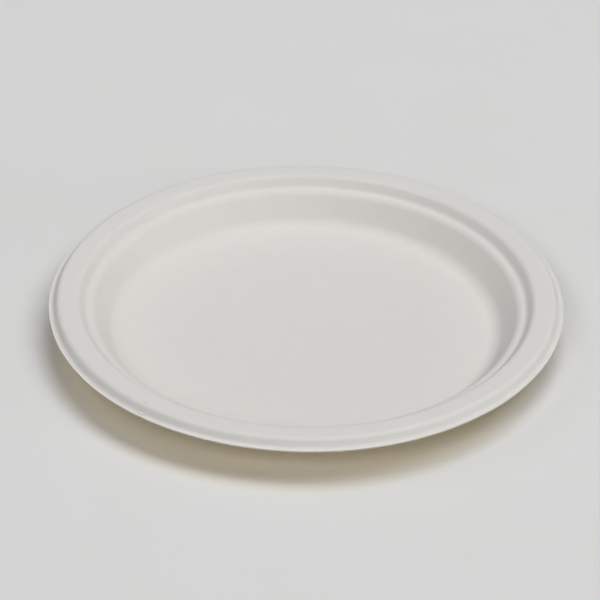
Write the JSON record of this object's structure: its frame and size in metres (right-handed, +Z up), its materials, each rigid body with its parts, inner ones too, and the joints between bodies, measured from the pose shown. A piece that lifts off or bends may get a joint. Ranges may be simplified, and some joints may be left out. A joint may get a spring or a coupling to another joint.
{
  "type": "paper plate",
  "caption": "Round disposable plate pressed from white fibre pulp, with a shallow sloping wall, a stacking ledge, a flat rim and a turned-down edge with a trimmed lip, for serving food.",
  "frame": {"origin": "centre of the underside of the floor, on the surface that the plate stands on", "axes": "+Z up along the axis of the round plate; X and Y lie in the surface that it stands on, in any direction, because the plate is the same all round"},
  "size_m": [0.229, 0.229, 0.0187],
  "materials": {
    "fibre": "matte"
  },
  "bodies": {
    "root": {"plate": "fibre"}
  },
  "joints": []
}
